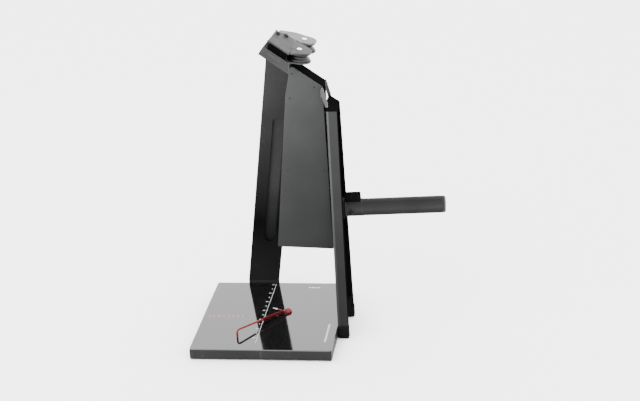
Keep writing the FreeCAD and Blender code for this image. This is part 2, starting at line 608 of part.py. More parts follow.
def build_handle():
    """The handle is drawn along +X from its bend, then turned and set on the deck."""
    frame = Placement(Vector(SIZES["grip_x"], SIZES["grip_y"], SIZES["deck_top"]),
                      Rotation(Vector(0, 0, 1), SIZES["grip_turn"]))
    along = Placement(Vector(0, 0, SIZES["grip_high"]), Rotation(Vector(0, 1, 0), SIZES["grip_drop"]))
    bar = moved("handle_bar_set", cylinder("handle_bar", "rod_thin", "grip_len", 0, 0, 0, AXIS_X), along)
    rod = fuse("rod_shape", [
        cylinder("handle_leg", "rod_thin", "grip_high"),
        sphere("handle_bend", "rod_thin", 0, 0, "grip_high"),
        bar,
    ])
    output(moved("handle_wire", rod, frame), "handle_rod")
    sleeve = cylinder("sleeve_outer", "grip_rad", "grip_to - grip_from", "grip_from", 0, 0, AXIS_X)
    sleeve_bore = cylinder("sleeve_bore", "rod_thin", "grip_to", "grip_from - 5", 0, 0, AXIS_X)
    grip = moved("handle_sleeve_set", cut("sleeve_shape", sleeve, [sleeve_bore]), along)
    output(moved("handle_sleeve", grip, frame), "handle_grip")

    reach = SIZES["grip_len"] * math.cos(math.radians(SIZES["grip_drop"]))
    ball = sphere("dome_ball", "dome_rad", reach, 0, "dome_lift + dome_sink")
    under = box("dome_under", "60", "60", "60", reach - 30, "-30", "dome_lift - 60")
    bore = moved("dome_bore_set", cylinder("dome_bore", "rod_thin", "grip_len", 0, 0, 0, AXIS_X), along)
    output(moved("handle_dome", cut("dome_shape", ball, [under, bore]), frame), "handle_ball")

    point = fuse("tab_shape", [
        cylinder("tab_stem_pin", "tab_stem_rad", "tab_stem + 1", 0, 0, 0, AXIS_X),
        cone("tab_point", "tab_root", "tab_tip", "tab_len", "tab_stem", 0, 0, AXIS_X),
    ])
    swing = Placement(Vector(SIZES["tab_at"], 0, 0),
                      Rotation(Vector(0, 0, 1), SIZES["tab_yaw"] - SIZES["grip_turn"]))
    clear = cylinder("tab_trim", "rod_thin", "grip_len", 0, 0, 0, AXIS_X)
    trimmed = cut("tab_trimmed", moved("tab_swung", point, swing), [clear])
    output(moved("handle_tab", moved("tab_set", trimmed, along), frame), "handle_tab")


def check_and_export():
    doc.removeObject("probe")
    doc.recompute()
    for obj in doc.Objects:
        if "Invalid" in obj.State or "Error" in obj.State:
            raise RuntimeError("%s is in state %s" % (obj.Name, obj.State))
    os.makedirs("parts", exist_ok=True)
    for obj, label in OUTPUTS:
        shape = obj.Shape
        if shape.isNull() or not shape.isValid() or not shape.Solids:
            raise RuntimeError(label + " has no valid solid")
        shape.exportStep("parts/%s.step" % label)
        box_mm = shape.BoundBox
        print("%-22s solids %d  x %.1f..%.1f  y %.1f..%.1f  z %.1f..%.1f" % (
            label, len(shape.Solids), box_mm.XMin, box_mm.XMax, box_mm.YMin, box_mm.YMax,
            box_mm.ZMin, box_mm.ZMax))


build_base()
build_mast()
build_housing()
build_guides()
build_horn()
build_legs()
build_head()
build_idler()
build_handle()
check_and_export()
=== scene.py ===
"""The compact cable tower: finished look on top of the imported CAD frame.

Every length below is given in millimetres and turned into metres by mm().
"""

import math
import random

import bmesh
import bpy
from mathutils import Matrix, Vector


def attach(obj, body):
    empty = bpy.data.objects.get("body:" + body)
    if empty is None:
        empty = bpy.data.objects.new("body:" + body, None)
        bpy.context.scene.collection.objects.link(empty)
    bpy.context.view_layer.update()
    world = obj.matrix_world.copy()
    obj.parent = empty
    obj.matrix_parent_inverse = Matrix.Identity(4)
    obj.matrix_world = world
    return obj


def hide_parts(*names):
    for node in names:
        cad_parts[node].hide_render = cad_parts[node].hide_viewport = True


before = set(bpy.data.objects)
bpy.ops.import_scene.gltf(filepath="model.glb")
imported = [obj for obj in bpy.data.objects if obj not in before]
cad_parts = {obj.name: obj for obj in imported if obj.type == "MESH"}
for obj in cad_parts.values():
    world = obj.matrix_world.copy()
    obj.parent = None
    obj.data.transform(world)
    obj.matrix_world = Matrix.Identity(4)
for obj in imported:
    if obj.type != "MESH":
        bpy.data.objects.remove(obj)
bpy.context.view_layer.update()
RNG = random.Random(7)


def mm(*values):
    """Millimetres to metres."""
    out = tuple(v / 1000.0 for v in values)
    return out[0] if len(out) == 1 else out


def turned(axis, degrees, x=0, y=0, z=0):
    """A place in millimetres with a turn about one axis."""
    return Matrix.Translation(Vector(mm(x, y, z))) @ Matrix.Rotation(math.radians(degrees), 4, axis)


HEAD = turned("Y", 36, 50, 0, 913.7)
MAST = turned("X", 12.5, 0, 225, 45)
HORN = turned("Y", -2.3, 242, 0, 390)
NOSE = turned("Y", 10, 143, 0, 888)
GRIP = turned("Z", 53.6, -79.5, -148.2, 36)
HERE = Matrix.Identity(4)
UP_TO_Y = Matrix.Rotation(math.radians(-90), 4, "X")
UP_TO_X = Matrix.Rotation(math.radians(90), 4, "Y")
FLAT_TO_XZ = Matrix.Rotation(math.radians(90), 4, "X")


# ---------------------------------------------------------------- materials

class Nodes:
    """Short hand for one material's node tree."""

    def __init__(self, name):
        self.mat = bpy.data.materials.new(name)
        self.mat.use_nodes = True
        self.tree = self.mat.node_tree
        self.tree.nodes.clear()
        self.out = self.add("ShaderNodeOutputMaterial")
        self.bsdf = self.add("ShaderNodeBsdfPrincipled")
        self.link(self.bsdf.outputs["BSDF"], self.out.inputs["Surface"])
        self.coords = self.add("ShaderNodeTexCoord").outputs["Object"]

    def add(self, kind, **values):
        node = self.tree.nodes.new(kind)
        for key, value in values.items():
            setattr(node, key, value)
        return node

    def link(self, source, target):
        self.tree.links.new(source, target)

    def noise(self, scale, detail=3.0, rough=0.55, stretch=None):
        source = self.coords
        if stretch:
            mapping = self.add("ShaderNodeMapping")
            mapping.inputs["Scale"].default_value = stretch
            self.link(source, mapping.inputs["Vector"])
            source = mapping.outputs["Vector"]
        node = self.add("ShaderNodeTexNoise")
        node.inputs["Scale"].default_value = scale
        node.inputs["Detail"].default_value = detail
        node.inputs["Roughness"].default_value = rough
        self.link(source, node.inputs["Vector"])
        return node.outputs["Fac"]

    def ramp(self, source, stops):
        node = self.add("ShaderNodeValToRGB")
        elements = node.color_ramp.elements
        while len(elements) < len(stops):
            elements.new(0.5)
        for element, (at, colour) in zip(elements, stops):
            element.position = at
            element.color = colour if len(colour) == 4 else (*colour, 1.0)
        self.link(source, node.inputs["Fac"])
        return node.outputs["Color"]

    def span(self, source, low, high, source_low=0.3, source_high=0.7):
        node = self.add("ShaderNodeMapRange")
        node.inputs["From Min"].default_value = source_low
        node.inputs["From Max"].default_value = source_high
        node.inputs["To Min"].default_value = low
        node.inputs["To Max"].default_value = high
        self.link(source, node.inputs["Value"])
        return node.outputs["Result"]

    def mix(self, factor, first, second):
        node = self.add("ShaderNodeMix", data_type="RGBA")
        self.link(factor, node.inputs["Factor"])
        for socket, value in ((node.inputs["A"], first), (node.inputs["B"], second)):
            if isinstance(value, tuple):
                socket.default_value = (*value, 1.0)
            else:
                self.link(value, socket)
        return node.outputs["Result"]

    def product(self, first, second):
        node = self.add("ShaderNodeMath", operation="MULTIPLY")
        self.link(first, node.inputs[0])
        self.link(second, node.inputs[1])
        return node.outputs["Value"]

    def fade(self, tone, axis, low, high, stops):
        """Darken or lighten a tone along one axis of the piece: stops are (place 0-1, factor)."""
        split = self.add("ShaderNodeSeparateXYZ")
        self.link(self.coords, split.inputs[0])
        along = self.span(split.outputs[axis], 0.0, 1.0, mm(low), mm(high))
        grey = self.ramp(along, [(place, (f, f, f)) for place, f in stops])
        node = self.add("ShaderNodeMix", data_type="RGBA", blend_type="MULTIPLY")
        node.inputs["Factor"].default_value = 1.0
        self.link(tone, node.inputs["A"])
        self.link(grey, node.inputs["B"])
        return node.outputs["Result"]

    def edges(self, radius):
        """1 on the edges of the shape, 0 on its faces."""
        bevel = self.add("ShaderNodeBevel", samples=4)
        bevel.inputs["Radius"].default_value = radius
        normal = self.add("ShaderNodeNewGeometry").outputs["Normal"]
        dot = self.add("ShaderNodeVectorMath", operation="DOT_PRODUCT")
        self.link(bevel.outputs["Normal"], dot.inputs[0])
        self.link(normal, dot.inputs[1])
        return self.span(dot.outputs["Value"], 1.0, 0.0, 0.9, 0.995)

    def bump(self, height, strength, distance):
        node = self.add("ShaderNodeBump")
        node.inputs["Strength"].default_value = strength
        node.inputs["Distance"].default_value = distance
        self.link(height, node.inputs["Height"])
        self.link(node.outputs["Normal"], self.bsdf.inputs["Normal"])


def scaled(colour, factor):
    return tuple(min(1.0, c * factor) for c in colour)


def powder_coat(name, colour, rough=0.42, worn=(0.42, 0.42, 0.43), wear=0.5, vary=0.16, grain=1500.0,
                metal=0.0, shine=0.06, fades=()):
    """Satin coat: fine orange peel, cloudy tone, dust, a few scuffs and lighter rubbed edges, then any
    painted light and shade given in fades.
    """
    n = Nodes(name)
    cloud = n.noise(7.0, 4.0)
    tone = n.ramp(cloud, [(0.3, scaled(colour, 1.0 - vary)), (0.7, scaled(colour, 1.0 + vary))])
    speck = n.span(n.noise(420.0, 2.0), 0.0, 0.22, 0.62, 0.72)
    tone = n.mix(speck, tone, scaled(colour, 1.9))
    scuff = n.span(n.noise(60.0, 5.0, 0.7, (1.0, 1.0, 0.12)), 0.0, 0.16, 0.60, 0.74)
    tone = n.mix(scuff, tone, worn)
    rub = n.product(n.edges(0.0012), n.span(n.noise(55.0, 4.0), 0.15, wear, 0.42, 0.66))
    tone = n.mix(rub, tone, worn)
    # Painted light and shade: each fade darkens or lightens the tone along one axis of the piece.
    for axis, low, high, stops in fades:
        tone = n.fade(tone, axis, low, high, stops)
    n.link(tone, n.bsdf.inputs["Base Color"])
    n.link(n.span(n.noise(28.0, 3.0), rough - 0.07, rough + 0.09), n.bsdf.inputs["Roughness"])
    n.bsdf.inputs["Metallic"].default_value = metal
    n.bsdf.inputs["Specular IOR Level"].default_value = shine
    n.bump(n.noise(grain, 2.0), 0.22, 0.00012)
    return n.mat


def turned_metal(name, colour, rough=0.25, stretch=(1.0, 1.0, 30.0), vary=0.12):
    """Machined metal: fine turning lines, light stains, brighter edges."""
    n = Nodes(name)
    lines = n.noise(160.0, 4.0, 0.6, stretch)
    tone = n.ramp(lines, [(0.3, scaled(colour, 1.0 - vary)), (0.7, scaled(colour, 1.0 + vary))])
    stain = n.span(n.noise(35.0, 4.0), 0.0, 0.3, 0.55, 0.75)
    tone = n.mix(stain, tone, scaled(colour, 0.62))
    tone = n.mix(n.span(n.edges(0.0006), 0.0, 0.6, 0.0, 1.0), tone, scaled(colour, 1.5))
    n.link(tone, n.bsdf.inputs["Base Color"])
    n.link(n.span(lines, rough - 0.07, rough + 0.12), n.bsdf.inputs["Roughness"])
    n.bsdf.inputs["Metallic"].default_value = 1.0
    n.bump(lines, 0.12, 0.00008)
    return n.mat


def rubber(name, colour, grain=900.0, rough=0.7):
    """Moulded rubber or soft plastic with a fine stipple and dusty patches."""
    n = Nodes(name)
    dust = n.span(n.noise(24.0, 5.0), 0.0, 0.35, 0.48, 0.75)
    base = n.ramp(n.noise(90.0), [(0.3, scaled(colour, 0.8)), (0.7, scaled(colour, 1.25))])
    grey = scaled(colour, 1.8)
    n.bsdf.inputs["Specular IOR Level"].default_value = 0.02
    n.link(n.mix(dust, base, grey), n.bsdf.inputs["Base Color"])
    n.link(n.span(n.noise(40.0), rough - 0.1, rough + 0.12), n.bsdf.inputs["Roughness"])
    n.bump(n.noise(grain, 3.0), 0.4, 0.0002)
    return n.mat


def mirror_deck(name):
    """Polished dark sheet: a clear mirror with faint smears, dust and hairline scratches."""
    n = Nodes(name)
    dust = n.span(n.noise(900.0, 2.0), 0.0, 0.10, 0.66, 0.74)
    haze = n.span(n.noise(6.0, 5.0, 0.6), 0.0, 0.10, 0.45, 0.75)
    tone = n.mix(haze, (0.070, 0.070, 0.0706), (0.063, 0.063, 0.0634))
    tone = n.mix(dust, tone, (0.12, 0.12, 0.12))
    n.link(tone, n.bsdf.inputs["Base Color"])
    hair = n.noise(240.0, 3.0, 0.6, (1.0, 0.02, 1.0))
    n.link(n.span(hair, 0.035, 0.085), n.bsdf.inputs["Roughness"])
    n.bsdf.inputs["Metallic"].default_value = 0.96
    n.bsdf.inputs["Specular IOR Level"].default_value = 0.0
    n.bump(n.noise(14.0, 2.0), 0.02, 0.0002)
    return n.mat


def ink(name, colour):
    """Screen print: slightly uneven, with pinholes."""
    n = Nodes(name)
    tone = n.ramp(n.noise(300.0, 3.0), [(0.3, scaled(colour, 0.8)), (0.7, scaled(colour, 1.1))])
    holes = n.span(n.noise(1500.0, 2.0), 0.0, 0.5, 0.62, 0.7)
    n.link(n.mix(holes, tone, scaled(colour, 0.45)), n.bsdf.inputs["Base Color"])
    n.bsdf.inputs["Roughness"].default_value = 0.45
    n.bump(n.noise(1200.0), 0.2, 0.00005)
    return n.mat


# Light and shade painted into the coats and fixed to each piece.
# Each fade is (axis, low mm, high mm, stops), with stops of (place 0-1, factor).
MAST_FADE = (("Y", 0, 900, [(0.0, 0.35), (0.25, 0.065), (0.42, 0.34), (0.60, 0.60), (0.85, 1.0)]),)
PANEL_FADE = (("Y", 270, 840, [(0.0, 0.34), (0.2, 0.38), (0.4, 0.48), (0.6, 0.64), (0.85, 0.92), (1.0, 1.0)]),
              ("X", 40, 204, [(0.0, 1.0), (1.0, 0.60)]))
LINER_FADE = (("Y", 150, 600, [(0.0, 0.20), (0.25, 0.45), (0.5, 1.0), (1.0, 0.9)]),)
LEG_FADE = (("Z", 0, 700, [(0.0, 0.42), (0.4, 0.47), (0.95, 1.0)]),)
CORNER_FADE = (("Z", 0, 700, [(0.0, 0.30), (0.4, 0.50), (0.95, 1.0)]),)
TUBE_FADE = (("X", -25.6, 25.6, [(0.0, 1.0), (0.1, 0.6), (0.3, 0.8), (0.48, 1.0), (0.65, 0.72), (0.82, 0.42),
                                 (1.0, 0.4)]),)
DARK_EDGE = (0.10, 0.10, 0.10)

MATS = {
    "deck": mirror_deck("deck_mirror"),
    "slab": powder_coat("slab_side", (0.011, 0.011, 0.0114), 0.36, DARK_EDGE, 0.25),
    "mast": powder_coat("mast_coat", (0.0235, 0.0235, 0.024), 0.40, DARK_EDGE, 0.3, shine=0.02,
                        fades=MAST_FADE),
    "liner": powder_coat("liner_coat", (0.024, 0.024, 0.024), 0.5, DARK_EDGE, shine=0.02, fades=LINER_FADE),
    "panel": powder_coat("panel_coat", (0.037, 0.0385, 0.038), 0.45, DARK_EDGE, 0.35, fades=PANEL_FADE),
    "leg": powder_coat("leg_coat", (0.0185, 0.0185, 0.019), 0.42, (0.05, 0.05, 0.05), 0.2, fades=LEG_FADE),
    # Paler copy of the leg coat for the near leg's left rounded corner: a painted highlight.
    "corner": powder_coat("leg_corner_painted_highlight", (0.046, 0.046, 0.0465), 0.38, (0.12, 0.12, 0.12), 0.2,
                          fades=CORNER_FADE),
    "black": powder_coat("black_coat", (0.0024, 0.0024, 0.0025), 0.40, (0.03, 0.03, 0.03), 0.2, shine=0.0),
    "horn": powder_coat("horn_coat", (0.0105, 0.0105, 0.011), 0.34, (0.10, 0.10, 0.10), 0.4),
    "tube": powder_coat("tube_coat", (0.017, 0.017, 0.0175), 0.34, (0.10, 0.10, 0.10), 0.4, shine=0.01,
                        fades=TUBE_FADE),
    # Deepest black for the spacer between the head plates: painted shade in the gap.
    "deep": powder_coat("gap_painted_shade_black", (0.001, 0.001, 0.001), 0.6, (0.01, 0.01, 0.01), shine=0.01),
    "head": powder_coat("head_coat", (0.023, 0.0232, 0.0232), 0.40, (0.30, 0.30, 0.30), 0.6, shine=0.04),
    # Lighter copy of the head coat for the far lobe: painted light.
    "head_far": powder_coat("far_lobe_painted_light_coat", (0.092, 0.0925, 0.0925), 0.40, (0.45, 0.45, 0.45), 0.7),
    # Paler coat on the gussets at the leg tops: a painted highlight.
    "gusset": powder_coat("gusset_painted_highlight_coat", (0.045, 0.045, 0.0455), 0.40, (0.4, 0.4, 0.4)),
    "bolt": powder_coat("bolt_oxide", (0.010, 0.010, 0.0105), 0.38, (0.12, 0.12, 0.12)),
    "steel": turned_metal("bright_steel", (0.42, 0.42, 0.43)),
    "bright": turned_metal("bright_cap", (0.85, 0.85, 0.86), 0.20),
    "wheel": turned_metal("wheel_metal", (0.026, 0.0265, 0.027), 0.36, (1.0, 1.0, 6.0)),
    "rubber": rubber("boot_rubber", (0.003, 0.003, 0.0032)),
    "bush": rubber("bush_plastic", (0.40, 0.39, 0.36), 500.0, 0.5),
    "knob": rubber("knob_plastic", (0.004, 0.004, 0.0042), 1200.0, 0.45),
    "red": powder_coat("red_dip", (0.10, 0.006, 0.007), 0.24, (0.20, 0.06, 0.05), 0.3, shine=0.2),
    "grip": rubber("red_grip", (0.035, 0.002, 0.003), 1100.0, 0.5),
    "white_ink": ink("white_ink", (0.45, 0.45, 0.45)),
    "red_ink": ink("red_ink", (0.21, 0.075, 0.075)),
}


# ---------------------------------------------------------------- mesh makers

def paint(obj, key, angle=32.0):
    """One material and clean shading for a mesh."""
    obj.data.materials.clear()
    obj.data.materials.append(MATS[key])
    obj.data.shade_smooth()
    obj.data.set_sharp_from_angle(angle=math.radians(angle))
    return obj


def add_mesh(name, verts, faces):
    mesh = bpy.data.meshes.new(name)
    mesh.from_pydata(verts, [], faces)
    mesh.validate()
    obj = bpy.data.objects.new(name, mesh)
    bpy.context.scene.collection.objects.link(obj)
    work = bmesh.new()
    work.from_mesh(mesh)
    bmesh.ops.recalc_face_normals(work, faces=work.faces)
    work.to_mesh(mesh)
    work.free()
    return obj


def settle(obj, key, place, body, nodes=(), angle=32.0):
    """Paint a finished mesh, put it in place and hang it on its CAD body."""
    paint(obj, key, angle)
    obj.matrix_world = place
    bpy.context.view_layer.update()
    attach(obj, body)
    if nodes:
        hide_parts(*nodes)
    return obj


def bevelled(obj, width, segments=3, angle=40.0):
    """Round a mesh's sharp edges for good."""
    modifier = obj.modifiers.new("round", "BEVEL")
    modifier.width = mm(width)
    modifier.segments = segments
    modifier.limit_method = "ANGLE"
    modifier.angle_limit = math.radians(angle)
    return bake(obj)


def bake(obj):
    """Turn an object with modifiers, or a curve, into a plain mesh."""
    bpy.context.view_layer.update()
    depsgraph = bpy.context.evaluated_depsgraph_get()
    mesh = bpy.data.meshes.new_from_object(obj.evaluated_get(depsgraph))
    name = obj.name
    bpy.data.objects.remove(obj, do_unlink=True)
    fresh = bpy.data.objects.new(name, mesh)
    bpy.context.scene.collection.objects.link(fresh)
    return fresh


def block(name, low, high, width=1.0, segments=3):
    """A box between two corners, with rounded edges."""
    xs, ys, zs = zip(mm(*low), mm(*high))
    verts = [(x, y, z) for x in xs for y in ys for z in zs]
    faces = [(0, 1, 3, 2), (4, 6, 7, 5), (0, 4, 5, 1), (2, 3, 7, 6), (0, 2, 6, 4), (1, 5, 7, 3)]
    return bevelled(add_mesh(name, verts, faces), width, segments)


def lathe(name, profile, segments=96):
    """A solid of revolution about +Z from (radius, height) pairs; the ends close on the axis."""
    verts = []
    faces = []
    rings = []
    for radius, height in profile:
        if radius < 1e-6:
            rings.append([len(verts)])
            verts.append((0, 0, mm(height)))
            continue
        start = len(verts)
        rings.append(list(range(start, start + segments)))
        for i in range(segments):
            a = 2 * math.pi * i / segments
            verts.append((mm(radius) * math.cos(a), mm(radius) * math.sin(a), mm(height)))
    for low, high in zip(rings, rings[1:]):
        for i in range(segments):
            j = (i + 1) % segments
            if len(low) == 1:
                faces.append((low[0], high[j], high[i]))
            elif len(high) == 1:
                faces.append((low[i], low[j], high[0]))
            else:
                faces.append((low[i], low[j], high[j], high[i]))
    if len(rings[0]) > 1 and len(rings[-1]) > 1:
        low, high = rings[-1], rings[0]
        for i in range(segments):
            j = (i + 1) % segments
            faces.append((low[i], low[j], high[j], high[i]))
    return add_mesh(name, verts, faces)


def rounded(points, radius, steps=6):
    """The same outline with every corner turned into an arc; radius may be one per corner."""
    out = []
    count = len(points)
    for i, here in enumerate(points):
        r = radius[i] if isinstance(radius, (list, tuple)) else radius
        here = Vector(here)
        before = Vector(points[i - 1]) - here
        after = Vector(points[(i + 1) % count]) - here
        half = before.angle(after) / 2.0
        reach = min(r / math.tan(half), before.length * 0.48, after.length * 0.48)
        first = here + before.normalized() * reach
        last = here + after.normalized() * reach
        for k in range(steps + 1):
            t = k / steps
            out.append(tuple(first * (1 - t) ** 2 + here * 2 * t * (1 - t) + last * t ** 2))
    return out


def pill(x, low, high, wide, lean=0.0, steps=16):
    """A round-ended slot along the second axis; lean is its sideways shift per unit of height."""
    r = wide / 2.0
    out = []
    for k in range(steps + 1):
        a = math.pi + math.pi * k / steps
        out.append((x + lean * low + r * math.cos(a), low + r * math.sin(a)))
    for k in range(steps + 1):
        a = math.pi * k / steps
        out.append((x + lean * high + r * math.cos(a), high + r * math.sin(a)))
    return out


def plate(name, loops, thick, edge=0.8):
    """A flat plate from one outline and any number of holes, with softly rounded edges."""
    curve = bpy.data.curves.new(name, "CURVE")
    curve.dimensions = "2D"
    curve.fill_mode = "BOTH"
    curve.extrude = mm(thick / 2.0 - edge)
    curve.bevel_depth = mm(edge)
    curve.bevel_resolution = 2
    curve.offset = -mm(edge)
    for loop in loops:
        spline = curve.splines.new("POLY")
        spline.points.add(len(loop) - 1)
        for point, (x, y) in zip(spline.points, loop):
            point.co = (mm(x), mm(y), 0.0, 1.0)
        spline.use_cyclic_u = True
    obj = bpy.data.objects.new(name, curve)
    bpy.context.scene.collection.objects.link(obj)
    return bake(obj)


def joined(name, objs):
    """Several placed meshes as one, in the row frame."""
    mesh = bpy.data.meshes.new(name)
    work = bmesh.new()
    for obj in objs:
        part = obj.data.copy()
        part.transform(obj.matrix_world)
        work.from_mesh(part)
        bpy.data.meshes.remove(part)
    work.to_mesh(mesh)
    work.free()
    for obj in objs:
        bpy.data.objects.remove(obj, do_unlink=True)
    out = bpy.data.objects.new(name, mesh)
    bpy.context.scene.collection.objects.link(out)
    return out


def at(obj, matrix):
    """Move a fresh mesh to a place."""
    obj.matrix_world = matrix
    bpy.context.view_layer.update()
    return obj


def circle(x, y, radius, steps=40):
    return [(x + radius * math.cos(2 * math.pi * k / steps), y + radius * math.sin(2 * math.pi * k / steps))
            for k in range(steps)]


def cap_screw(name, radius, height):
    """A socket screw's head: chamfered rim and a round recess."""
    body = lathe(name, [(0, 0), (radius, 0), (radius, height * 0.82), (radius * 0.9, height),
                        (radius * 0.55, height), (radius * 0.5, height * 0.9), (radius * 0.48, height * 0.35),
                        (0, height * 0.35)], 36)
    return body


# ---------------------------------------------------------------- base

def build_base():
    slab = block("slab", (-210, -225, 3), (210, 225, 32.4), 1.6)
    settle(slab, "slab", HERE, "frame", ("base_slab",))
    corner = rounded([(-210, -225), (210, -225), (210, 225), (-210, 225)], 9.0)
    deck = plate("deck", [corner], 3.6, 0.9)
    settle(deck, "deck", turned("X", 0, 0, 0, 34.2), "frame", ("base_deck",))


def print_marks(name, rects, key):
    """Thin printed patches on the deck: each is a four-corner outline in X-Y."""
    verts = []
    faces = []
    for corners in rects:
        start = len(verts)
        verts += [(mm(x), mm(y), mm(36.06)) for x, y in corners]
        faces.append(tuple(range(start, start + len(corners))))
    obj = add_mesh(name, verts, faces)
    modifier = obj.modifiers.new("thick", "SOLIDIFY")
    modifier.thickness = mm(0.12)
    modifier.offset = 1.0
    return settle(bake(obj), key, HERE, "frame")


def rect(x0, y0, x1, y1, slant=0.0):
    return [(x0, y0), (x1, y0), (x1 + slant, y1), (x0 + slant, y1)]


def build_prints():
    ruler = [rect(-20.6, -182, -19.7, 216)]
    for i in range(25):
        y = 210 - 15 * i
        long_tick = i % 2 == 0
        ruler.append(rect(-24.5 if long_tick else -22.8, y - 0.4, -20.6, y + 0.4))
        if long_tick:
            ruler.append(rect(-29, y - 2.1, -26.8, y + 2.1))
            if i % 4 == 0:
                ruler.append(rect(-33, y - 2.1, -30.8, y + 2.1))
    print_marks("ruler_marks", ruler, "white_ink")
    red = []
    x = -193.0
    while x < -84:
        red.append(rect(x, -19, x + 3.2, -3, 2.5))
        red.append(rect(x + 5.5, -19, x + 8.5, -16.5))
        red.append(rect(x + 7.5, -5.5, x + 10.5, -3))
        x += 14.5
    for k in range(4):
        red.append(rect(-74 + 8 * k, -13, -70 + 7 * k, -10))
    print_marks("red_marks", red, "red_ink")
    pale = []
    y = -169.0
    while y < -62:
        pale.append(rect(181, y, 187, y + 5.5))
        y += 9.5
    for k in range(4):
        pale.append(rect(87 + 9.5 * k, 189, 94 + 9.5 * k, 194))
    print_marks("pale_marks", pale, "white_ink")


# ---------------------------------------------------------------- mast

MAST_LEFT, MAST_WIDE, MAST_SHIFT, MAST_RISE = -110.0, 97.0, 155.0, 912.0


def build_mast():
    slope = math.tan(math.radians(9.2))
    left, right = MAST_LEFT, MAST_LEFT + MAST_WIDE
    outline = [(left, 0), (right, 0), mast_under_head(right), mast_under_head(left)]
    slot = pill(-53, 168.5, 588.5, 33, slope)
    front = plate("mast", [outline, slot], 8.0, 0.9)
    settle(front, "mast", MAST @ turned("X", 0, 0, 4, 0) @ FLAT_TO_XZ, "frame", ("mast_plate",))
    back = plate("mast_liner", [pill(-53, 168.5, 588.5, 57, slope)], 3.0, 0.5)
    settle(back, "liner", MAST @ turned("X", 0, 0, 9.6, 0) @ FLAT_TO_XZ, "frame",
           ("mast_recess_liner",))
    foot = block("mast_foot", (left, 225.2, 6), (right, 233.2, 45), 1.4)
    settle(foot, "leg", HERE, "frame", ("mast_foot",))
    heads = [at(cap_screw("foot_screw", 9, 5), turned("X", 0, x, 233.2, 20) @ UP_TO_Y)
             for x in (left + 18, right - 18)]
    settle(joined("foot_screws", heads), "bolt", HERE, "frame", ("mast_foot_bolts",))


def mast_under_head(start):
    """Where a long edge of the mast, starting at x = start, meets the head's lower flange."""
    inverse = HEAD.inverted()
    low, high = 500.0, MAST_RISE
    for _ in range(40):
        middle = (low + high) / 2.0
        point = MAST @ Vector(mm(start + MAST_SHIFT * middle / MAST_RISE, 4, middle))
        if (inverse @ point).z < mm(-27.8):
            low = middle
        else:
            high = middle
    return (start + MAST_SHIFT * low / MAST_RISE, low)


# ---------------------------------------------------------------- housing

CASE = [(40, 279), (204, 272), (199, 773), (111, 837), (92, 751)]


def build_housing():
    corners = [2.5, 2.5, 6, 8, 14]
    for name, y in (("near", -31.5), ("far", 31.5)):
        skin = plate("skin_" + name, [rounded(CASE, corners)], 3.0, 0.9)
        settle(skin, "panel", turned("X", 0, 0, y, 0) @ FLAT_TO_XZ, "frame",
               ("housing_%s_panel" % name,))
    spots = [(60, 292), (190, 290), (190, 520), (176, 772), (114, 812), (104, 740), (84, 520)]
    for side, y, turn in (("near", -33.0, -1), ("far", 33.0, 1)):
        heads = []
        for x, z in spots:
            if side == "far" and z == 740:
                continue
            spin = Matrix.Rotation(math.radians(-90 * turn), 4, "X")
            heads.append(at(cap_screw("skin_screw", 2.3, 0.8), turned("X", 0, x, y, z) @ spin))
        settle(joined("skin_screws_" + side, heads), "panel", HERE, "frame",
               ("housing_%s_screws" % side,))


# ---------------------------------------------------------------- legs

LEG_FOOT, LEG_WIDE, LEG_LEAN = 210.6, 32.0, 5.4
LEG_TOP = LEG_FOOT - LEG_LEAN


def leg_mesh(name, side):
    """A channel with rounded outer corners, lofted from the floor up with its inward lean."""
    web, flange, deep = 4.0, 3.5, 17.0
    profile = []
    for cx, r, a0 in ((7.0, 7.0, 180), (LEG_WIDE - 2.5, 2.5, 270)):
        for k in range(8):
            a = math.radians(a0 + 90 * k / 7)
            profile.append((cx + r * math.cos(a), r + r * math.sin(a)))
    profile += [(LEG_WIDE, deep), (LEG_WIDE - flange, deep), (LEG_WIDE - flange, web + 1), (7.5, web + 1),
                (flange, 8), (flange, deep), (0, deep)]
    sign = 1 if side == "far" else -1
    levels = [6, 100, 250, 400, 550, 700]
    verts = []
    for z in levels:
        outer = 80 - 43 * z / 700.0
        foot = LEG_FOOT - LEG_LEAN * (z - 6) / 694.0
        for x, y in profile:
            verts.append(mm(foot + x, sign * (outer - y), z))
    count = len(profile)
    faces = [tuple(range(count)), tuple(range(len(verts) - count, len(verts)))]
    for level in range(len(levels) - 1):
        for i in range(count):
            j = (i + 1) % count
            a = level * count
            faces.append((a + i, a + j, a + count + j, a + count + i))
    return add_mesh(name, verts, faces)


def corner_highlight_and_shade(leg):
    """A paler coat on a leg's left rounded corner as a painted highlight, and a flat black coat from its
    right corner inward as painted shade.
    """
    leg.data.materials.append(MATS["corner"])
    leg.data.materials.append(MATS["black"])
    end_caps, spans = 2, 5
    corner_faces, first_shaded_face = 7, 11
    per_span = (len(leg.data.polygons) - end_caps) // spans
    for span in range(spans):
        for i in range(per_span - 1):
            index = 1 if i < corner_faces else 2 if i >= first_shaded_face else 0
            leg.data.polygons[end_caps + span * per_span + i].material_index = index


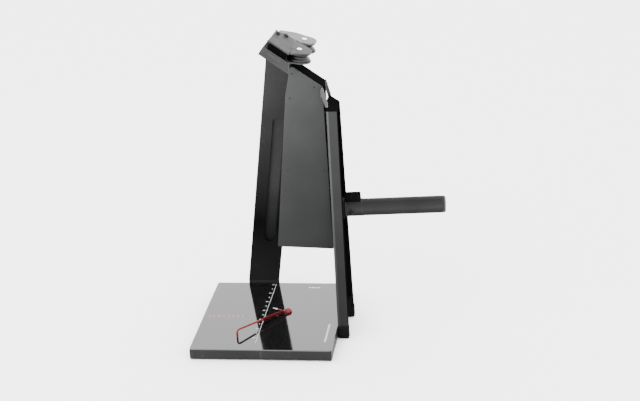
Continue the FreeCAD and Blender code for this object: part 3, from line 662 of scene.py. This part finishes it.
def build_legs():
    for side in ("near", "far"):
        # The far leg takes the near-black coat as painted shade for the shaded inside of its channel; the
        # near leg keeps the grey leg coat.
        key = "leg" if side == "near" else "black"
        leg = settle(leg_mesh("leg_" + side, side), key, HERE, "frame", ("rear_leg_" + side,))
        if side == "near":
            corner_highlight_and_shade(leg)
    right = LEG_TOP + LEG_WIDE
    top = plate("bridge", [rounded([(LEG_TOP, 700), (right, 700), (right, 706.5), (LEG_TOP, 728)],
                                   [0.6, 0.6, 3, 3])], 74.0, 1.2)
    settle(top, "black", FLAT_TO_XZ, "frame", ("rear_top_bridge",))
    shape = [(196, 772), (201, 771), (212.6, 726), (212.6, 714), (205.2, 714), (198, 742)]
    plates = [at(plate("gusset", [rounded(shape, 1.5)], 3.0, 0.6), turned("X", 0, 0, y, 0) @ FLAT_TO_XZ)
              for y in (-38.5, 38.5)]
    for y in (-37, 33):
        plates.append(block("gusset_packer", (193, y, 742), (200, y + 4, 766), 0.6))
    settle(joined("gussets", plates), "gusset", HERE, "frame", ("rear_gussets",))
    boots = [block("boot", (LEG_FOOT, y - 11.4, 0), (LEG_FOOT + LEG_WIDE + 1.4, y + 11.4, 40), 4.5, 5)
             for y in (-71.5, 71.5)]
    settle(joined("boots", boots), "rubber", HERE, "frame", ("leg_boots",))


# ---------------------------------------------------------------- horn and carriage

def build_horn():
    wall = [(21.5, 2), (25.6, 2), (25.6, 51.4), (25, 52), (25, 284.4), (24.6, 285), (21.5, 285)]
    tube = lathe("horn_tube", wall, 128)
    settle(tube, "tube", HORN @ UP_TO_X, "carriage", ("weight_horn",))
    face = [(0, 285.2), (23.7, 285.2), (24.5, 286), (24.5, 290.2), (23.4, 292.6), (20, 293.8), (8, 294.1),
            (6, 293.4), (0, 293.2)]
    cap = lathe("horn_cap", face, 128)
    settle(cap, "horn", HORN @ UP_TO_X, "carriage", ("horn_end_cap",))
    stop = block("horn_stop", (2, -14, 22), (47, 14, 44), 1.8)
    settle(stop, "black", HORN, "carriage", ("horn_stop_block",))
    bead = []
    for k in range(60):
        a = 2 * math.pi * k / 60
        drop = block("bead", (-1.3, -1.6, -1.3), (1.3, 1.6, 1.3), 0.9, 2)
        spot = HORN @ turned("X", math.degrees(a) + 90, 4.4, 26 * math.cos(a), 26 * math.sin(a))
        bead.append(at(drop, spot @ Matrix.Rotation(RNG.uniform(-0.3, 0.3), 4, "Z")))
    settle(joined("weld_bead", bead), "horn", HERE, "carriage")
    collar = lathe("pin_barrel", [(4.06, 0), (7, 0), (7, 6), (6.4, 6.8), (4.06, 6.8)], 6)
    settle(collar, "bolt", HORN @ turned("X", 0, 21, -32, -1) @ UP_TO_Y, "carriage", ("pin_barrel",))
    profile = [(0, 0.6), (3.6, 0.2), (5.4, 1.0), (6, 2.4), (5.4, 4.6), (4.3, 6.4), (4.6, 8.2), (5.0, 9.0),
               (4.0, 9.0), (4.0, 29.4), (3.4, 30.0), (0, 30.0)]
    pin = lathe("pull_pin", profile, 48)
    settle(pin, "knob", HORN @ turned("X", 0, 21, -41.4, -1) @ UP_TO_Y, "lock_pin", ("pull_pin",))


# ---------------------------------------------------------------- head

def arc(cx, cy, radius, first, last, steps=30):
    out = []
    for k in range(steps + 1):
        a = math.radians(first + (last - first) * k / steps)
        out.append((cx + radius * math.cos(a), cy + radius * math.sin(a)))
    return out


def build_head():
    near_lobe = [(-20.5, -95), (-14, -94)] + arc(0, -49, 36, -84, 30) + [(-12, 26), (-20, 31), (-23, 31)]
    far_lobe = [(-80, 19), (-80, 103), (-31, 103)] + arc(0, 49, 36, 84, -62) + [(0, 19)]
    low_lobes = ([(-37.5, -96), (-30, -96)] + arc(0, -49, 36, -100, 52) + arc(0, 49, 36, -52, 100)
                 + [(-30, 90), (-37.5, 90)])
    holes = {-1: circle(0, -49, 5.0), 1: circle(0, 49, 5.0)}
    cover = [(4, -99), (71.5, -99), (71.5, 31), (36, 31), (12, 6), (6, -30)]
    top = [
        at(plate("head_cover", [rounded(cover, [2, 0.5, 0.5, 8, 6, 8])], 4.0, 1.0),
           HEAD @ turned("X", 0, 0, 0, 21.5)),
        at(plate("near_lobe", [near_lobe, holes[-1]], 4.0, 1.0), NOSE @ turned("X", 0, 0, 0, -2)),
    ]
    settle(joined("head_top_piece", top), "head", HERE, "frame", ("head_top_plate",))
    far_half = plate("far_lobe", [far_lobe, holes[1]], 4.0, 1.0)
    # The far lobe takes the lighter head coat as painted light.
    settle(far_half, "head_far", NOSE @ turned("X", 0, 0, 0, -2), "frame")
    low = [(0, -99), (68.5, -99), (68.5, 92), (10, 92)]
    skirt = [(0, -27), (0, 0), (85, 0), (104, -27)]
    parts = [
        at(plate("head_low", [rounded(low, [1, 0.5, 0.5, 4])], 4.0, 0.9), HEAD @ turned("X", 0, 0, 0, -10)),
        at(plate("nose_low", [low_lobes, holes[-1], holes[1]], 4.0, 0.9), NOSE @ turned("X", 0, 0, 0, -30)),
        at(plate("head_skirt", [rounded(skirt, [2, 2, 1.5, 1.5])], 4.0, 0.9),
           HEAD @ turned("X", 0, 0, -97, 0) @ FLAT_TO_XZ),
        at(block("head_skirt", (10, 88, -27), (68, 92, -8.6), 0.9), HEAD),
        at(plate("head_front", [[(0, -99), (4, -99), (14, 92), (10, 92)]], 26.4, 0.8),
           HEAD @ turned("X", 0, 0, 0, -13.8)),
    ]
    settle(joined("head_bottom", parts), "head", HERE, "frame", ("head_bottom_plate",))
    # The spacer and cheek between the head plates take the deepest black as painted shade in the gap.
    filler = [block("head_spacer", (11, -94.8, -7.8), (52, 14, 19.3), 0.8),
              block("head_cheek", (51, -94.8, 0.2), (71, -86, 19.3), 0.8)]
    settle(joined("head_filler", filler), "deep", HEAD, "frame", ("head_spacer",))
    heads = [at(cap_screw("head_screw", 6.5, 5), turned("X", 0, u, y, 23.5)) for u, y in ((17, -6), (41, 16))]
    settle(joined("head_screws", heads), "bolt", HEAD, "frame", ("head_bolts",))
    axles = []
    pin = [(0, -37), (8.2, -37), (9, -36.2), (9, -32.3), (5, -32), (5, -0.1), (7.4, 0), (7.4, 2.2), (6.6, 3),
           (3.6, 3), (3.0, 2.2), (0, 2.2)]
    for side, y in (("near", -49), ("far", 49)):
        axles.append(at(lathe("axle", pin, 48), turned("X", 0, 0, y, 0)))
        wheel = lathe("wheel_" + side, [
            (11, 0.2), (14, 0), (16, 1.8), (24, 1.8), (27, 0), (32.2, 0), (33, 0.8), (33, 3.4), (32.4, 4.4),
            (28.5, 7.0), (26.6, 9.6), (26.3, 11), (26.6, 12.4), (28.5, 15), (32.4, 17.6), (33, 18.6),
            (33, 21.2), (32.2, 22.0), (27, 22.0), (24, 20.2), (16, 20.2), (14, 22.0), (11, 21.8)], 128)
        settle(wheel, "wheel", NOSE @ turned("X", 0, 0, y, -27), side + "_wheel", ("pulley_" + side,))
    settle(joined("axles", axles), "bright", NOSE, "frame", ("pulley_axles",))


# ---------------------------------------------------------------- handle

def tube_along(name, points, radius, sides=20):
    """A round rod along a smooth line."""
    curve = bpy.data.curves.new(name, "CURVE")
    curve.dimensions = "3D"
    curve.bevel_depth = mm(radius)
    curve.bevel_resolution = sides // 4
    curve.use_fill_caps = True
    spline = curve.splines.new("POLY")
    spline.points.add(len(points) - 1)
    for point, (x, y, z) in zip(spline.points, points):
        point.co = (mm(x), mm(y), mm(z), 1.0)
    obj = bpy.data.objects.new(name, curve)
    bpy.context.scene.collection.objects.link(obj)
    return bake(obj)


def build_handle():
    drop = math.radians(3.98)
    along = GRIP @ turned("Y", 3.98, 0, 0, 24)
    bend = 10.0
    line = [(0, 0, 0), (0, 0, 24 - bend)]
    for k in range(1, 11):
        a = math.pi / 2 * k / 10
        line.append((bend - bend * math.cos(a), 0, 24 - bend + bend * math.sin(a) - bend * drop * k / 10))
    line.append((213 * math.cos(drop), 0, 24 - 213 * math.sin(drop)))
    settle(tube_along("handle_wire", line, 3.0), "red", GRIP, "handle", ("handle_rod",))
    profile = [(3.05, 105), (3.8, 105), (4.4, 106)]
    count = 24
    for k in range(count):
        x = 106.5 + 80 * k / count
        profile += [(4.55, x), (4.6, x + 1.2), (4.5, x + 2.2), (4.2, x + 2.8)]
    profile += [(4.4, 189), (3.8, 190), (3.05, 190)]
    sleeve = lathe("handle_sleeve", profile, 48)
    settle(sleeve, "grip", along @ UP_TO_X, "handle", ("handle_grip",), angle=50)
    dome = [(0, 0.3), (11.2, 0.3)]
    for k in range(21):
        a = math.pi / 2 * k / 20
        dome.append((max(0.0, 11.5 * math.cos(a)), 1.2 + 11.5 * math.sin(a)))
    dome[-1] = (0, 12.7)
    reach = 213.3 * math.cos(drop)
    swing = along @ turned("Z", 101.4, 195) @ UP_TO_X
    stem = lathe("tab_stem", [(0, 3.2), (1.35, 3.2), (1.35, 17.0), (1.9, 18.2), (1.9, 23.0), (0, 23.0)], 24)
    settle(stem, "red", swing, "handle", ())
    taper = [(0, 23.05), (1.9, 23.05), (2.1, 23.6), (0.95, 39.6), (0.5, 39.95), (0, 39.95)]
    point = lathe("tab_point", taper, 32)
    settle(point, "steel", swing, "handle", ("handle_tab",))
    foot = lathe("handle_dome", dome, 64)
    settle(foot, "red", GRIP @ turned("X", 0, reach, 0, 0), "handle", ("handle_ball",))


# ---------------------------------------------------------------- the nodes that keep their own mesh

KEPT = {
    "base_mat": "rubber", "mast_head_seat": "mast", "mast_tie_block": "mast", "housing_spine": "black",
    "guide_rods": "steel", "rod_bumpers": "rubber", "rod_block_low": "horn", "rod_block_high": "horn",
    "carriage_block": "horn", "carriage_bushes": "bush", "carriage_neck": "horn", "horn_root_plate": "black",
    "rear_cross_beam": "black", "idler_wheel": "wheel", "idler_axle": "steel",
    "idler_collars": "bolt", "bearing_near": "steel", "bearing_far": "steel",
}


def paint_kept_nodes():
    for name, key in KEPT.items():
        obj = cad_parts[name]
        obj.data.materials.clear()
        obj.data.materials.append(MATS[key])


# ---------------------------------------------------------------- stage

def area_light(name, place, aim, size, power):
    data = bpy.data.lights.new(name, "AREA")
    data.shape = "RECTANGLE"
    data.size, data.size_y = size
    data.energy = power
    lamp = bpy.data.objects.new(name, data)
    bpy.context.scene.collection.objects.link(lamp)
    lamp.location = place
    lamp.rotation_euler = (Vector(aim) - Vector(place)).to_track_quat("-Z", "Y").to_euler()
    return lamp


def build_stage():
    mesh = bpy.data.meshes.new("floor")
    size = 30.0
    corners = [(-size, -size, 0), (size, -size, 0), (size, size, 0), (-size, size, 0)]
    mesh.from_pydata(corners, [], [(0, 1, 2, 3)])
    floor = bpy.data.objects.new("floor", mesh)
    bpy.context.scene.collection.objects.link(floor)
    n = Nodes("floor_pale")
    n.bsdf.inputs["Base Color"].default_value = (0.93, 0.93, 0.93, 1.0)
    n.bsdf.inputs["Roughness"].default_value = 0.9
    mesh.materials.append(n.mat)
    world = bpy.data.worlds.new("studio")
    bpy.context.scene.world = world
    world.use_nodes = True
    background = world.node_tree.nodes["Background"]
    background.inputs["Color"].default_value = (1.0, 1.0, 1.0, 1.0)
    background.inputs["Strength"].default_value = 5.0
    area_light("key", (-1.6, -1.8, 3.4), (0, 0, 0.5), (2.2, 2.2), 60)


def build_camera():
    data = bpy.data.cameras.new("camera")
    data.lens = 87.27
    data.sensor_width = 36.0
    data.clip_end = 100.0
    camera = bpy.data.objects.new("camera", data)
    bpy.context.scene.collection.objects.link(camera)
    right = Vector((0.9899, 0.1311, -0.0548))
    ahead = Vector((-0.1421, 0.9137, -0.3807))
    ahead.normalize()
    right = (right - ahead * right.dot(ahead)).normalized()
    up = right.cross(ahead)
    turn = Matrix((right, up, -ahead)).transposed().to_4x4()
    camera.matrix_world = Matrix.Translation((0.8138, -4.1518, 2.1422)) @ turn
    bpy.context.scene.camera = camera


build_base()
build_prints()
build_mast()
build_housing()
build_legs()
build_horn()
build_head()
build_handle()
paint_kept_nodes()
build_stage()
build_camera()
